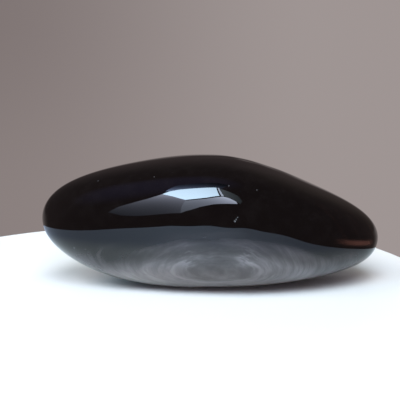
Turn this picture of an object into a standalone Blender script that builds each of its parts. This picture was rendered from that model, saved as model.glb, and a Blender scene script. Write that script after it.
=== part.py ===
"""A polished obsidian palm stone, one solid piece at its real size.

Metres, +Z up.  X runs along the stone, with the low drawn-out end at +X and
the blunt end at -X.  Y runs across it, and the fuller belly faces -Y.  The
stone rests on Z = 0 on a small flat worn under its middle.

The form is a rounded block of glass whose broken faces have been tumbled
until only their directions are left.  Each face below is one of those planes.
"""
import math

import bmesh
import bpy
import numpy as np

MM = 0.001

# Rounded block before breaking: half length, half width, half height, in mm.
BLOCK = (48.4, 28.3, 19.1)

# Broken faces worn into the block: bearing (0 = +X, 90 = +Y), slope above
# level, both in degrees, and distance of the face from the block's middle, mm.
FACES = (
    (181.0, 84.5, 15.8),     # top, falling to the blunt end
    (24.5, 66.0, 14.4),      # long slope down to the drawn-out end
    (166.5, 24.5, 50.7),     # blunt end
    (1.5, -4.5, 36.7),       # drawn-out end
    (179.0, -66.5, 25.4),    # undercut below the blunt end
    (1.0, -85.0, 14.4),      # underside
    (-87.5, -1.0, 19.7),     # belly, along the middle
    (-90.5, -62.0, 25.1),    # belly, below
    (-88.5, 51.0, 34.2),     # belly, above
    (114.0, -8.0, 25.0),     # back, along the middle
    (73.5, 34.0, 21.4),      # back, above
    (94.5, -48.5, 23.3),     # back, below
    (-116.0, 20.5, 45.8),    # corner between belly and blunt end
    (-51.0, 0.5, 24.4),      # corner between belly and drawn-out end
    (131.5, 0.0, 50.8),      # corner between back and blunt end
    (51.0, 0.0, 31.8),       # corner between back and drawn-out end
    (180.0, -86.0, 22.8),    # worn sole
)

# Tumbling: how tightly the faces still meet.  Lower is rounder; past about
# 20 the edges between the faces would show.
TIGHTNESS = 6.0

# Depth taken off the lowest point for the resting flat, in mm.
FLAT_DEPTH = 0.3

# Mesh fineness: rings from tip to tip, and points round each ring.
RINGS = 48
ROUND = 96


def face_normals():
    """Unit normals of the worn faces."""
    rows = []
    for bearing, slope, _ in FACES:
        b, s = math.radians(bearing), math.radians(slope)
        rows.append((math.cos(b) * math.cos(s), math.sin(b) * math.cos(s),
                     math.sin(s)))
    return np.array(rows)


def reach(u):
    """Distance in mm from the block's middle to the surface along u.

    The block and every face each give a level that is 1 on their own
    surface; their power sum of order TIGHTNESS is 1 on the worn stone.
    """
    block = np.linalg.norm(u / np.array(BLOCK), axis=-1)
    dist = np.array([f[2] for f in FACES])
    cut = np.maximum(u @ face_normals().T, 0.0) / dist
    total = block ** TIGHTNESS + (cut ** TIGHTNESS).sum(axis=-1)
    return total ** (-1.0 / TIGHTNESS)


def stone_grid():
    """Points of the worn stone, rings about the long axis, and its two tips."""
    t = math.pi * np.arange(1, RINGS) / RINGS
    p = 2.0 * math.pi * np.arange(ROUND) / ROUND
    tt, pp = np.meshgrid(t, p, indexing="ij")
    u = np.stack([np.cos(tt), np.sin(tt) * np.cos(pp),
                  np.sin(tt) * np.sin(pp)], axis=-1)
    tips = np.array([(1.0, 0.0, 0.0), (-1.0, 0.0, 0.0)])
    rings = u * reach(u)[..., None]
    return rings.reshape(-1, 3), tips * reach(tips)[:, None]


def stone_mesh():
    """Closed mesh of the stone before the flat is cut."""
    rings, tips = stone_grid()
    points = np.concatenate([rings, tips]) * MM
    near, far = len(rings), len(rings) + 1
    faces = []
    for i in range(RINGS - 2):
        for j in range(ROUND):
            k = (j + 1) % ROUND
            faces.append((i * ROUND + j, (i + 1) * ROUND + j,
                          (i + 1) * ROUND + k, i * ROUND + k))
    last = (RINGS - 2) * ROUND
    for j in range(ROUND):
        k = (j + 1) % ROUND
        faces.append((near, j, k))
        faces.append((far, last + k, last + j))
    mesh = bpy.data.meshes.new("obsidian_stone")
    mesh.from_pydata([tuple(p) for p in points], [], faces)
    return mesh


def cut_flat(mesh):
    """Slice FLAT_DEPTH off the lowest point, leaving one level face."""
    bm = bmesh.new()
    bm.from_mesh(mesh)
    low = min(v.co.z for v in bm.verts) + FLAT_DEPTH * MM
    geom = bm.verts[:] + bm.edges[:] + bm.faces[:]
    cut = bmesh.ops.bisect_plane(bm, geom=geom, dist=1e-7,
                                 plane_co=(0.0, 0.0, low),
                                 plane_no=(0.0, 0.0, -1.0), clear_outer=True)
    rim = [e for e in cut["geom_cut"] if isinstance(e, bmesh.types.BMEdge)]
    bmesh.ops.contextual_create(bm, geom=rim)
    bmesh.ops.recalc_face_normals(bm, faces=bm.faces)
    for face in bm.faces:
        level = all(abs(v.co.z - low) < 1e-9 for v in face.verts)
        face.smooth = not level
    bm.to_mesh(mesh)
    bm.free()


def centre(mesh):
    """Move the middle of the underside of the bounds to the origin."""
    pts = np.empty(len(mesh.vertices) * 3)
    mesh.vertices.foreach_get("co", pts)
    pts = pts.reshape(-1, 3)
    lo, hi = pts.min(axis=0), pts.max(axis=0)
    pts -= ((lo[0] + hi[0]) / 2, (lo[1] + hi[1]) / 2, lo[2])
    mesh.vertices.foreach_set("co", pts.ravel())
    mesh.update()


def obsidian():
    """Polished black volcanic glass."""
    mat = bpy.data.materials.new("obsidian")
    mat.use_nodes = True
    bsdf = mat.node_tree.nodes["Principled BSDF"]
    bsdf.inputs["Base Color"].default_value = (0.006, 0.005, 0.006, 1.0)
    bsdf.inputs["Roughness"].default_value = 0.06
    bsdf.inputs["IOR"].default_value = 1.49
    return mat


def build():
    for obj in list(bpy.data.objects):
        bpy.data.objects.remove(obj, do_unlink=True)
    mesh = stone_mesh()
    cut_flat(mesh)
    centre(mesh)
    mesh.materials.append(obsidian())
    obj = bpy.data.objects.new("obsidian_stone", mesh)
    bpy.context.scene.collection.objects.link(obj)


build()
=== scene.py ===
import math

import bpy
import numpy as np
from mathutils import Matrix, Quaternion, Vector


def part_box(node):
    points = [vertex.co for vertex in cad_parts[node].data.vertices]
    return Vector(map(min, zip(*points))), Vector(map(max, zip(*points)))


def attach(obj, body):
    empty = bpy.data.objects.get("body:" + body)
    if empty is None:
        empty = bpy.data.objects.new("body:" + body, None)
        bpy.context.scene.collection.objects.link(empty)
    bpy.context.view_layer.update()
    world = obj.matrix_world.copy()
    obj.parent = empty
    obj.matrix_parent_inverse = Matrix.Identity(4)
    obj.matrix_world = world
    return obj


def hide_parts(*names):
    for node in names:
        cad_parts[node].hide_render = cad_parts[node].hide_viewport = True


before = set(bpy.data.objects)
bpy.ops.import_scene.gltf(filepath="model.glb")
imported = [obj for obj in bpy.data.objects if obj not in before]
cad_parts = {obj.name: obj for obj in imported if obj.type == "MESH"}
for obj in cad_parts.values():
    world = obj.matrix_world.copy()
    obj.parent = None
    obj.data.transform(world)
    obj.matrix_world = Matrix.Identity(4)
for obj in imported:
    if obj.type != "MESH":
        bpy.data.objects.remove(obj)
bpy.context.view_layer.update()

# ---------------------------------------------------------------------------
# The stone.  One piece of black volcanic glass: a rounded block whose broken
# faces were tumbled until only their directions are left, then polished.  It
# is one closed skin, in rings of points from tip to tip.
# ---------------------------------------------------------------------------
block = np.array((48.4, 28.3, 19.1))  # half length, depth and height in mm
worn_faces = np.array((
    # bearing, slope, distance from the middle: degrees, degrees, mm
    (181.0, 84.5, 15.8), (24.5, 66.0, 14.4), (166.5, 24.5, 50.7),
    (1.5, -4.5, 36.7), (179.0, -66.5, 25.4), (1.0, -85.0, 14.4),
    (-87.5, -1.0, 19.7), (-90.5, -62.0, 25.1), (-88.5, 51.0, 34.2),
    (114.0, -8.0, 25.0), (73.5, 34.0, 21.4), (94.5, -48.5, 23.3),
    (-116.0, 20.5, 45.8), (-51.0, 0.5, 24.4), (131.5, 0.0, 50.8),
    (51.0, 0.0, 31.8), (180.0, -86.0, 22.8),
))
tightness = 6.0  # how closely the skin keeps to the faces at their edges
flat_depth = 0.3  # how much the resting flat is worn in, mm
flat_rounding = 0.02  # how softly its edge turns, mm
# Long soft waves left by tumbling: direction, waves per radian, height in mm.
waves = (
    ((0.9, 0.3, 0.2), 7.0, 0.030),
    ((-0.2, 0.5, 0.8), 9.0, 0.024),
    ((0.4, -0.7, 0.6), 13.0, 0.014),
    ((0.7, 0.6, -0.4), 17.0, 0.009),
)


def reach(u):
    """Distance from the block's middle to the skin along each direction u.

    The block and each worn face give a level that is 1 on their own surface.
    The sixth root of the sum of their sixth powers is 1 on the stone, so the
    distance is one over it.  Slow sine waves across the direction are added.
    """
    b, s = np.radians(worn_faces[:, 0]), np.radians(worn_faces[:, 1])
    normal = np.stack([np.cos(b) * np.cos(s), np.sin(b) * np.cos(s), np.sin(s)])
    cut = np.maximum(u @ normal, 0.0) / worn_faces[:, 2]
    whole = np.linalg.norm(u / block, axis=-1)
    level = (whole ** tightness + (cut ** tightness).sum(-1)) ** (1.0 / tightness)
    swell = sum(h * np.sin(n * (u @ np.array(d)) + 2.0 * k)
                for k, (d, n, h) in enumerate(waves))
    return 1.0 / level + swell


def stone_skin(rings, per_ring):
    """Points of the skin and its faces.

    A point lies along (cos t, sin t cos p, sin t sin p), t from the +X tip to
    the -X tip and p round the long axis, at the distance that reach gives.
    Quads join the rings, and a fan of triangles closes each tip.
    """
    t = math.pi * np.arange(1, rings) / rings
    p = 2.0 * math.pi * np.arange(per_ring) / per_ring
    tt, pp = np.meshgrid(t, p, indexing="ij")
    u = np.stack([np.cos(tt), np.sin(tt) * np.cos(pp),
                  np.sin(tt) * np.sin(pp)], -1).reshape(-1, 3)
    u = np.concatenate([u, ((1.0, 0.0, 0.0), (-1.0, 0.0, 0.0))])
    points = u * reach(u)[:, None]
    i, j = np.meshgrid(np.arange(rings - 2), np.arange(per_ring), indexing="ij")
    k = (j + 1) % per_ring
    quads = np.stack([i * per_ring + j, (i + 1) * per_ring + j,
                      (i + 1) * per_ring + k, i * per_ring + k], -1).reshape(-1, 4)
    a = np.arange(per_ring)
    b = (a + 1) % per_ring
    low_tip, blunt_tip, last = len(u) - 2, len(u) - 1, (rings - 2) * per_ring
    fans = np.concatenate([np.stack([a * 0 + low_tip, a, b], -1),
                           np.stack([a * 0 + blunt_tip, last + b, last + a], -1)])
    return points, quads.tolist() + fans.tolist()


def settle(points, box):
    """Wears the resting flat and seats the stone in its box.

    Below the flat's plane the height is the smooth greater of the plane and
    the skin: half of their sum plus half the root of their squared
    difference plus a small rounding.  Then each axis is stretched to the box.
    """
    plane = points[:, 2].min() + flat_depth
    over = points[:, 2] - plane
    points[:, 2] = plane + (over + np.sqrt(over ** 2 + flat_rounding ** 2)) / 2.0
    low, high = points.min(0), points.max(0)
    lo, hi = np.array(box[0]), np.array(box[1])
    return lo + (points - low) / (high - low) * (hi - lo)


points, faces = stone_skin(rings=200, per_ring=400)
mesh = bpy.data.meshes.new("polished_stone")
mesh.from_pydata(settle(points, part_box("obsidian_stone")).tolist(), [], faces)
mesh.polygons.foreach_set("use_smooth", [True] * len(mesh.polygons))
mesh.update()
stone = bpy.data.objects.new("polished_stone", mesh)
bpy.context.scene.collection.objects.link(stone)
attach(stone, "root")
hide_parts("obsidian_stone")

# Its glass: black under a mirror polish, silvery where flow layers of tiny bubbles lie
# near the skin with a painted glint at the blunt end's low side, a few open bubbles, and
# a painted brown glow line at the thin end standing in for light shining through it.
# All places below are in mm from the object's origin.
clean_black = (0.0006, 0.0005, 0.0006, 1.0)
dusty_black = (0.0022, 0.0019, 0.0020, 1.0)
rusty_black = (0.0120, 0.0050, 0.0035, 1.0)
silver_grey = (0.252, 0.236, 0.253, 1.0)
lilac_grey = (0.250, 0.203, 0.236, 1.0)
painted_glow_brown = (0.062, 0.025, 0.018, 1.0)
pit_grey = (0.085, 0.085, 0.090, 1.0)
glass_bending = 1.48  # index of refraction
pit_depth = 0.00012  # metres
low_front = (0.108, -0.652, -0.750)  # the way in which the layers come to show
flow = (0.1223, -0.9332, -0.3378)  # the way in which the layers are stacked
# place in the stack and brightness of the layers; the first two are the ends
layer_tones = ((12.0, 0.62), (17.8, 0.58), (13.5, 0.86), (14.1, 0.66),
               (14.6, 0.82), (15.0, 0.68), (15.6, 0.62), (16.2, 0.82),
               (16.7, 0.64), (16.98, 1.00), (17.12, 0.60), (17.35, 0.52))
layer_knots = ((3.5, -20.4, 7.9), (16.3, -18.7, 8.3))
front_pits = (  # place and radius
    ((14.6, -19.5, 17.1), 0.20), ((14.3, -19.6, 16.7), 0.26),
    ((14.9, -19.45, 17.5), 0.15), ((-19.4, -15.9, 24.3), 0.20),
    ((-4.7, -17.8, 25.6), 0.17), ((12.9, -18.6, 24.0), 0.20),
    ((18.6, -17.2, 23.0), 0.16), ((-24.8, -19.0, 9.6), 0.22),
    ((-21.6, -19.75, 9.55), 0.17),
)

glass = bpy.data.materials.new("tumbled_obsidian")
glass.use_nodes = True
tree = glass.node_tree  # the material or world that the helpers below add to
shader = tree.nodes["Principled BSDF"]


def step(kind, settings=(), **inputs):
    """One node; a keyword names an input, holding a number or what feeds it."""
    made = tree.nodes.new(kind)
    for name, value in settings:
        setattr(made, name, value)
    for name, value in inputs.items():
        socket = made.inputs[int(name[1:]) if name[0] == "_" else name]
        if isinstance(value, bpy.types.NodeSocket):
            tree.links.new(value, socket)
        else:
            socket.default_value = value
    return made.outputs


def math_of(operation, a, b=0.0, c=0.0):
    return step("ShaderNodeMath", [("operation", operation)], _0=a, _1=b, _2=c)[0]


def smooth(value, start, end, low=0.0, high=1.0):
    """Eased change from low to high as the value goes from start to end."""
    return step("ShaderNodeMapRange", [("interpolation_type", "SMOOTHSTEP")],
                _0=value, _1=start, _2=end, _3=low, _4=high)[0]


def noise(place, scale, detail, rough):
    return step("ShaderNodeTexNoise", Vector=place, Scale=scale, Detail=detail,
                Roughness=rough)[0]


def blend_colour(factor, a, b):
    return step("ShaderNodeMix", [("data_type", "RGBA")], _0=factor, _6=a, _7=b)[2]


def grey_bands(value, stops):
    """Grey tones along a value; each stop is a value and its tone."""
    start, end = stops[0][0], stops[1][0]
    share = step("ShaderNodeMapRange", _0=value, _1=start, _2=end, _3=0.0, _4=1.0)[0]
    made = step("ShaderNodeValToRGB", _0=share)
    bar = tree.nodes[-1].color_ramp
    bar.interpolation = "B_SPLINE"
    for n, (place, tone) in enumerate(stops):
        at = (place - start) / (end - start)
        mark = bar.elements[n] if n < 2 else bar.elements.new(at)
        mark.position, mark.color = at, (tone, tone, tone, 1.0)
    return made[0]


spot = step("ShaderNodeTexCoord")["Object"]
mm = step("ShaderNodeVectorMath", [("operation", "SCALE")], _0=spot, Scale=1000.0)[0]


def along(direction, place=None):
    """How far a place lies along a direction: their dot product."""
    return step("ShaderNodeVectorMath", [("operation", "DOT_PRODUCT")],
                _0=place or mm, _1=direction)[1]


def near(place, outer, inner, most=1.0):
    """Nothing beyond the outer distance from a place, most within the inner."""
    off = step("ShaderNodeVectorMath", [("operation", "DISTANCE")], _0=mm, _1=place)[1]
    return smooth(off, outer, inner, 0.0, most)


# how the layers stack, and streaks drawn out along them
lengthwise = along((1.0, 0.0, 0.0))
wobble = noise(mm, 0.13, 3.0, 0.55)
layer = math_of("MULTIPLY_ADD", wobble, 0.5, along(flow))
lift = step("ShaderNodeVectorMath", [("operation", "SCALE")], _0=flow,
            Scale=math_of("MULTIPLY", layer, 2.1))[0]
drawn = step("ShaderNodeVectorMath", [("operation", "MULTIPLY_ADD")], _0=mm,
             _1=(0.16, 0.16, 0.16), _2=lift)[0]
streak = math_of("MULTIPLY_ADD", noise(drawn, 3.1, 2.0, 0.55), 0.30,
                 math_of("MULTIPLY", noise(drawn, 1.0, 4.0, 0.60), 0.70))

# where the layers show: a thin veil, then a body below it that is heavier to the blunt end
# and the low end, a fainter patch on the far side, and a painted glint that brightens the
# blunt end's low side where the light catches the sheen
drift = noise(mm, 0.10, 2.0, 0.5)
front = along(low_front)
depth = math_of("MULTIPLY_ADD", drift, 1.2, front)
veil = math_of("MULTIPLY", smooth(depth, 4.9, 6.2, 0.0, 0.18),
               smooth(lengthwise, -21.0, 0.0))
mid_veil = math_of("MULTIPLY", smooth(lengthwise, -6.0, 4.0),
                   smooth(lengthwise, 20.0, 12.0))
slant = math_of("MULTIPLY_ADD", math_of("MINIMUM", lengthwise, 8.0), 0.02, depth)
body = smooth(slant, 7.2, 9.0, 0.0, 0.38)
# painted glint: more sheen towards the blunt end's low side, standing in for light
# catching it there
leftward = math_of("ADD", depth, along((-0.04, 0.0, 0.0)))
painted_glint = math_of("MULTIPLY", smooth(leftward, 6.9, 8.9, 0.0, 0.62),
                smooth(lengthwise, 4.0, -12.0))
low_end = smooth(along((0.55, -0.45, -0.70)), 16.0, 18.0, 0.0, 0.32)
blunt_end = math_of("MULTIPLY", smooth(along((-0.50, -0.50, -0.70)), 12.0, 16.0),
                    smooth(along((0.0, 0.0, 1.0)), 10.5, 6.5))
far_side = smooth(math_of("MULTIPLY_ADD", drift, 3.0, along((-0.10, 0.75, 0.65))),
                  22.5, 28.5, 0.0, 0.30)
knots = 0.0  # where the layers fold, either side of the middle
for place in layer_knots:
    knots = math_of("ADD", knots, near(place, 3.4, 0.4, 0.30))
body = math_of("MULTIPLY_ADD", knots, smooth(streak, 0.44, 0.56), body)
body = math_of("MULTIPLY_ADD", near((24.0, -15.7, 6.3), 6.5, 1.5, 0.11),
               smooth(depth, 4.8, 6.6), body)
body = math_of("MULTIPLY_ADD", mid_veil, smooth(depth, 3.5, 4.9, 0.0, 0.05), body)
body = math_of("MULTIPLY_ADD", blunt_end, 0.22, body)
# loose wisps above the veil, brighter in one arc near the blunt end
arc = math_of("MULTIPLY", smooth(layer, 12.9, 13.5), smooth(layer, 14.2, 13.6))
wisps = math_of("MULTIPLY", smooth(streak, 0.48, 0.62), smooth(front, 2.7, 4.2))
wisps = math_of("MULTIPLY", wisps, smooth(lengthwise, 24.0, 15.0))
wisps = math_of("MULTIPLY", wisps, math_of("MULTIPLY_ADD", arc, 0.08, 0.032))
# the sheen mask with the painted glint added in; it sets the metal weight and the silver
# colour
sheen_and_painted_glint = math_of("ADD", math_of("ADD", veil, body), math_of("ADD", painted_glint, low_end))
sheen_and_painted_glint = math_of("ADD", sheen_and_painted_glint, math_of("MAXIMUM", wisps, far_side))

# their tone: bands and streaks, darker at the heart of the rings
strength = math_of("MULTIPLY", grey_bands(layer, layer_tones),
                   smooth(streak, 0.36, 0.64, 0.77, 1.21))
heart = near((9.9, -20.1, 9.4), 6.0, 1.5, 0.40)
strength = math_of("MULTIPLY", strength, math_of("SUBTRACT", 1.0, heart))
silver_tone = blend_colour(strength, (0.0, 0.0, 0.0, 1.0), silver_grey)
silver_tone = blend_colour(math_of("MULTIPLY", blunt_end, 0.5), silver_tone, lilac_grey)

# a thin dusty film breaks up the black, and rusty streaks cross its far side
film = smooth(noise(mm, 0.35, 4.0, 0.6), 0.42, 0.75)
rust = math_of("MULTIPLY", smooth(streak, 0.50, 0.70),
               smooth(along((0.5, 0.87, 0.0)), 2.0, 18.0))
black = blend_colour(film, clean_black, dusty_black)
black = blend_colour(rust, black, rusty_black)
tone = blend_colour(sheen_and_painted_glint, black, silver_tone)

# a painted smoky brown glow line near the low end's tip, standing in for light shining
# through its thin glass
end = math_of("MULTIPLY", smooth(lengthwise, 32.5, 37.0),
              smooth(lengthwise, 38.38, 37.8))
height = along((0.33, 0.0, 1.0))
painted_glow_line = math_of("MULTIPLY", smooth(height, 21.1, 21.9), smooth(height, 22.9, 22.1))
tone = blend_colour(math_of("MULTIPLY", end, painted_glow_line), tone, painted_glow_brown)

# open bubbles, tiny pits with polish left in them: some placed on the front,
# some strewn over the rest
cells = step("ShaderNodeTexVoronoi", Vector=mm, Scale=0.30, Randomness=1.0)
open_cell = smooth(step("ShaderNodeSeparateColor", _0=cells["Color"])[0], 0.84, 0.88)
open_cell = math_of("MULTIPLY", open_cell, smooth(along((0.0, 1.0, 0.0)), -13.0, -10.0))
pit = math_of("MULTIPLY", smooth(cells["Distance"], 0.06, 0.02), open_cell)
for place, radius in front_pits:
    pit = math_of("MAXIMUM", pit, near(place, radius, radius * 0.4))
dent = step("ShaderNodeBump", Strength=1.0, Distance=pit_depth,
            Height=math_of("MULTIPLY", pit, -1.0))[0]

tree.links.new(blend_colour(pit, tone, pit_grey), shader.inputs["Base Color"])
tree.links.new(sheen_and_painted_glint, shader.inputs["Metallic"])
tree.links.new(dent, shader.inputs["Normal"])
tree.links.new(dent, shader.inputs["Coat Normal"])
shader.inputs["Roughness"].default_value = 0.32
shader.inputs["IOR"].default_value = glass_bending
shader.inputs["Specular IOR Level"].default_value = 0.0
shader.inputs["Coat Weight"].default_value = 1.0
shader.inputs["Coat Roughness"].default_value = 0.015
shader.inputs["Coat IOR"].default_value = glass_bending
mesh.materials.append(glass)

# ---------------------------------------------------------------------------
# The stand it lies on: a pale matt oval top with a rounded edge, not part of
# the object.  A profile from the middle out over the edge is carried round.
# ---------------------------------------------------------------------------
top_middle = (-0.01306, -0.03016)
top_half = (0.0744, 0.1026)
top_squareness = 2.09
top_turn = math.radians(24.0)
top_thick = 0.012
edge_round = 0.002
mean_half = 0.07  # takes the edge's rounding to a share of the half width
matt_white = (0.86, 0.86, 0.86, 1.0)
# its tones as the polish reflects it are painted: painted shade, warmer, under the stone,
# a painted bluish tint beside it, and painted shade, darker and bluer, far off
painted_under_shade = (0.88, 0.87, 0.83, 1.0)
painted_beside_tint = (0.90, 0.97, 0.99, 1.0)
painted_far_shade = (0.500, 0.565, 0.700, 1.0)


def stand_top(around, steps):
    """A superellipse outline times a profile.

    At angle a the outline is the sign of cosine and sine times their size to
    the power 2/n, n the squareness.  The profile runs flat from the middle
    and then down a quarter round to the underside, and it is turned in plan.
    """
    a = 2.0 * math.pi * np.arange(around) / around
    power = 2.0 / top_squareness
    ox = np.sign(np.cos(a)) * np.abs(np.cos(a)) ** power
    oy = np.sign(np.sin(a)) * np.abs(np.sin(a)) ** power
    q = np.linspace(0.0, math.pi / 2.0, steps)
    r = np.concatenate([[0.0, 0.4, 0.8],
                        1.0 - edge_round / mean_half * (1.0 - np.sin(q)), [1.0]])
    z = np.concatenate([[0.0, 0.0, 0.0], -edge_round * (1.0 - np.cos(q)),
                        [-top_thick]])
    across = top_half[0] * r[:, None] * ox
    deep = top_half[1] * r[:, None] * oy
    x = top_middle[0] + across * math.cos(top_turn) - deep * math.sin(top_turn)
    y = top_middle[1] + across * math.sin(top_turn) + deep * math.cos(top_turn)
    return np.stack([x, y, z[:, None] + 0.0 * x], -1)


grid = stand_top(around=256, steps=8)
rows, cols = grid.shape[:2]
i, j = np.meshgrid(np.arange(rows - 1), np.arange(cols), indexing="ij")
k = (j + 1) % cols
quads = np.stack([i * cols + j, (i + 1) * cols + j,
                  (i + 1) * cols + k, i * cols + k], -1)
top_mesh = bpy.data.meshes.new("stand_top")
top_mesh.from_pydata(grid.reshape(-1, 3).tolist(), [], quads.reshape(-1, 4).tolist())
top_mesh.polygons.foreach_set("use_smooth", [True] * len(top_mesh.polygons))
stand = bpy.data.objects.new("stand_top", top_mesh)
bpy.context.scene.collection.objects.link(stand)

paint = bpy.data.materials.new("pale_paint")
paint.use_nodes = True
tree = paint.node_tree
paint_shader = tree.nodes["Principled BSDF"]
off_middle = step("ShaderNodeVectorMath", [("operation", "LENGTH")],
                  _0=step("ShaderNodeTexCoord")["Object"])[1]
# painted reflection: glossy rays see these painted shades in place of the matt white
painted_reflection_tone = blend_colour(smooth(off_middle, 0.020, 0.036), painted_under_shade, painted_beside_tint)
painted_reflection_tone = blend_colour(smooth(off_middle, 0.040, 0.067), painted_reflection_tone, painted_far_shade)
matt_and_painted_reflection = blend_colour(step("ShaderNodeLightPath")["Is Glossy Ray"], matt_white, painted_reflection_tone)
tree.links.new(matt_and_painted_reflection, paint_shader.inputs["Base Color"])
paint_shader.inputs["Roughness"].default_value = 0.7
top_mesh.materials.append(paint)

# ---------------------------------------------------------------------------
# The room: a plain mauve wall in view, dim all round, with one high window
# on the camera's left whose panes show as the highlight in the polish.
# ---------------------------------------------------------------------------
wall_left_high = (0.215, 0.180, 0.176, 1.0)
wall_left_low = (0.255, 0.216, 0.210, 1.0)
wall_right = (0.345, 0.300, 0.293, 1.0)
room_tone = (0.152, 0.110, 0.109, 1.0)
room_by_window = (0.225, 0.190, 0.310, 1.0)
back_left = (0.052, 0.040, 0.040, 1.0)
back_right = (0.095, 0.075, 0.068, 1.0)


def ray_of(bearing, height):
    """Unit vector at a bearing from -Y towards +X and a height, in degrees."""
    b, h = np.radians(bearing), np.radians(height)
    return np.stack([np.sin(b) * np.cos(h), -np.cos(b) * np.cos(h), np.sin(h)], -1)


world = bpy.data.worlds.new("room")
bpy.context.scene.world = world
world.use_nodes = True
tree = world.node_tree
tree.nodes.clear()
way = step("ShaderNodeTexCoord")["Generated"]
sideways = along((0.9135, 0.4067, 0.0), way)
inward = along((-0.4067, 0.9135, 0.0), way)
upward = along((0.0, 0.0, 1.0), way)
wall_left = blend_colour(smooth(upward, 0.0, -0.15), wall_left_high, wall_left_low)
wall = blend_colour(smooth(sideways, -0.16, 0.10), wall_left, wall_right)
room = blend_colour(smooth(along(tuple(ray_of(-42.0, 50.0)), way), 0.80, 1.0),
                    room_tone, room_by_window)
back = blend_colour(smooth(sideways, 0.05, 0.45), back_left, back_right)
room = blend_colour(smooth(inward, 0.05, 1.0), room, back)
low_back = math_of("MULTIPLY", smooth(inward, 0.5, 0.9), smooth(upward, 0.05, -0.05))
room = blend_colour(low_back, room, wall)
path = step("ShaderNodeLightPath")
glow = step("ShaderNodeBackground",
            Color=blend_colour(path["Is Camera Ray"], room, wall),
            Strength=math_of("SUBTRACT", 1.0, path["Is Diffuse Ray"]))
outlet = tree.nodes.new("ShaderNodeOutputWorld")
tree.links.new(glow[0], outlet.inputs["Surface"])

aim = np.array((0.0045, -0.0200, 0.0218))  # the place that mirrors the window


def pane(name, corners, distance, colour, strength, rise=(0.0, 0.0)):
    """A flat glowing pane; corners are (bearing, height) seen from the stone.

    Each corner lies from the aim point along its ray, at a distance that
    keeps the pane in one plane across its middle ray.  Its glow grows as e
    to the power of rise times the place across and up the pane.
    """
    global tree
    ray = ray_of(*np.array(corners, float).T)
    middle = ray.mean(0) / np.linalg.norm(ray.mean(0))
    spots = aim + ray * (distance / (ray @ middle))[:, None]
    data = bpy.data.meshes.new(name)
    data.from_pydata(spots.tolist(), [], [list(range(len(spots)))])
    made = bpy.data.objects.new(name, data)
    bpy.context.scene.collection.objects.link(made)
    mat = bpy.data.materials.new(name)
    mat.use_nodes = True
    tree = mat.node_tree
    tree.nodes.clear()
    across = np.cross((0.0, 0.0, 1.0), middle)
    across /= np.linalg.norm(across)
    grow = (across * rise[0] + np.cross(middle, across) * rise[1]) / distance
    power = math_of("SUBTRACT", along(tuple(grow), step("ShaderNodeTexCoord")["Object"]),
                    float(grow @ (aim + middle * distance)))
    light = step("ShaderNodeEmission", Color=(*colour, 1.0),
                 Strength=math_of("MULTIPLY", math_of("EXPONENT", power), strength))
    outlet = tree.nodes.new("ShaderNodeOutputMaterial")
    tree.links.new(light[0], outlet.inputs["Surface"])
    data.materials.append(mat)
    made.visible_camera = made.visible_diffuse = made.visible_shadow = False


pane("sky", [(-28.1, 23.0), (-27.9, 28.3), (-26.0, 31.9), (-21.6, 33.8),
             (-15.9, 35.9), (-10.6, 37.3), (-6.4, 15.5), (-12.7, 11.8),
             (-18.7, 10.0), (-23.1, 16.9)], 1.20, (0.60, 0.80, 1.0), 25.0, (-0.6, -0.5))
pane("sash", [(-9.6, 37.2), (-8.2, 36.0), (-4.1, 15.6), (-5.4, 15.2)], 1.20,
     (0.70, 0.80, 1.0), 12.0)
pane("sky_glow", [(-29.5, 29.0), (-34.5, 44.8), (-28.0, 52.0), (-16.7, 56.0),
                  (-2.0, 52.0), (-6.0, 36.0), (-20.0, 30.0)], 1.30,
     (0.48, 0.62, 1.0), 0.58, (-2.5, -9.0))
pane("left_reveal", [(-37.0, 3.8), (-34.9, 9.0), (-32.1, 12.1), (-29.9, 15.9),
                     (-28.9, 19.7), (-28.1, 23.0), (-23.1, 16.7), (-18.5, 9.6),
                     (-18.7, -3.0), (-22.4, -3.3), (-25.2, -2.9), (-28.0, -2.2),
                     (-32.1, -0.5)], 1.20, (0.74, 0.79, 1.0), 1.60, (4.6, 6.2))
pane("sill", [(-18.5, 8.9), (-12.5, 10.1), (-6.6, 13.2), (-4.6, 14.4), (-1.5, 12.4),
              (2.5, 8.0), (3.2, 5.4), (-2.2, 4.4), (-8.5, 3.0), (-14.1, 1.0),
              (-17.5, -1.6), (-18.7, -3.0)], 1.20, (0.72, 0.80, 1.0), 6.3, (2.4, 4.4))
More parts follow.
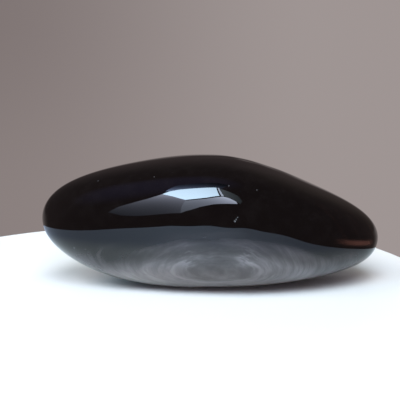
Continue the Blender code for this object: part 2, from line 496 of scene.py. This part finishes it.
pane("right_reveal", [(-7.4, 34.5), (-0.2, 26.7), (5.1, 19.0), (7.4, 9.7),
                      (5.2, 5.4), (3.2, 8.0), (-1.0, 12.8), (-3.8, 14.6)], 1.20,
     (0.76, 0.90, 1.0), 0.95, (-5.0, 0.0))

# soft lamps that light the stand and the flow layers, kept out of the polish
lamp_distance = 1.2
lamp_width = 0.75
for name, bearing, height, watts, colour in (
        ("front", 24, 42, 10.4, (0.92, 1.0, 1.10)),
        ("overhead", 24, 68, 5.3, (0.88, 1.0, 1.10)),
        ("near_left", -21, 42, 4.7, (0.60, 0.90, 1.0)),
        ("left", -66, 42, 4.2, (1.0, 0.80, 0.70)),
        ("low_front", 24, 15, 3.8, (1.0, 0.85, 0.95)),
        ("low_left", -111, 15, 6.6, (0.45, 0.80, 1.0)),
        ("low_back", -156, 15, 5.4, (1.0, 0.92, 0.94)),
        ("high_right", 114, 68, 1.5, (1.0, 0.85, 0.60))):
    light = bpy.data.lights.new(name, "AREA")
    light.shape = "DISK"
    light.size = lamp_width
    light.energy = watts
    light.color = colour
    lamp = bpy.data.objects.new(name, light)
    ray = Vector(ray_of(bearing, height))
    lamp.location = ray * lamp_distance
    lamp.rotation_mode = "QUATERNION"
    lamp.rotation_quaternion = (-ray).to_track_quat("-Z", "Y")
    lamp.visible_glossy = lamp.visible_camera = False
    bpy.context.scene.collection.objects.link(lamp)

# ---------------------------------------------------------------------------
# The camera: a long lens a little above the stone and to the right of its
# belly's middle, held slightly out of level.
# ---------------------------------------------------------------------------
looked_at = Vector((-0.000221, -0.004298, 0.018515))
roll = math.radians(-2.74)
lens = bpy.data.cameras.new("camera")
lens.lens = 121.0
lens.sensor_width = 36.0
lens.clip_start = 0.01
lens.clip_end = 20.0
camera = bpy.data.objects.new("camera", lens)
camera.location = (0.120414, -0.275249, 0.063599)
looking = looked_at - camera.location
camera.rotation_mode = "QUATERNION"
camera.rotation_quaternion = (looking.to_track_quat("-Z", "Y")
                              @ Quaternion((0.0, 0.0, 1.0), roll))
bpy.context.scene.collection.objects.link(camera)
bpy.context.scene.camera = camera
bpy.context.scene.view_settings.view_transform = "Standard"
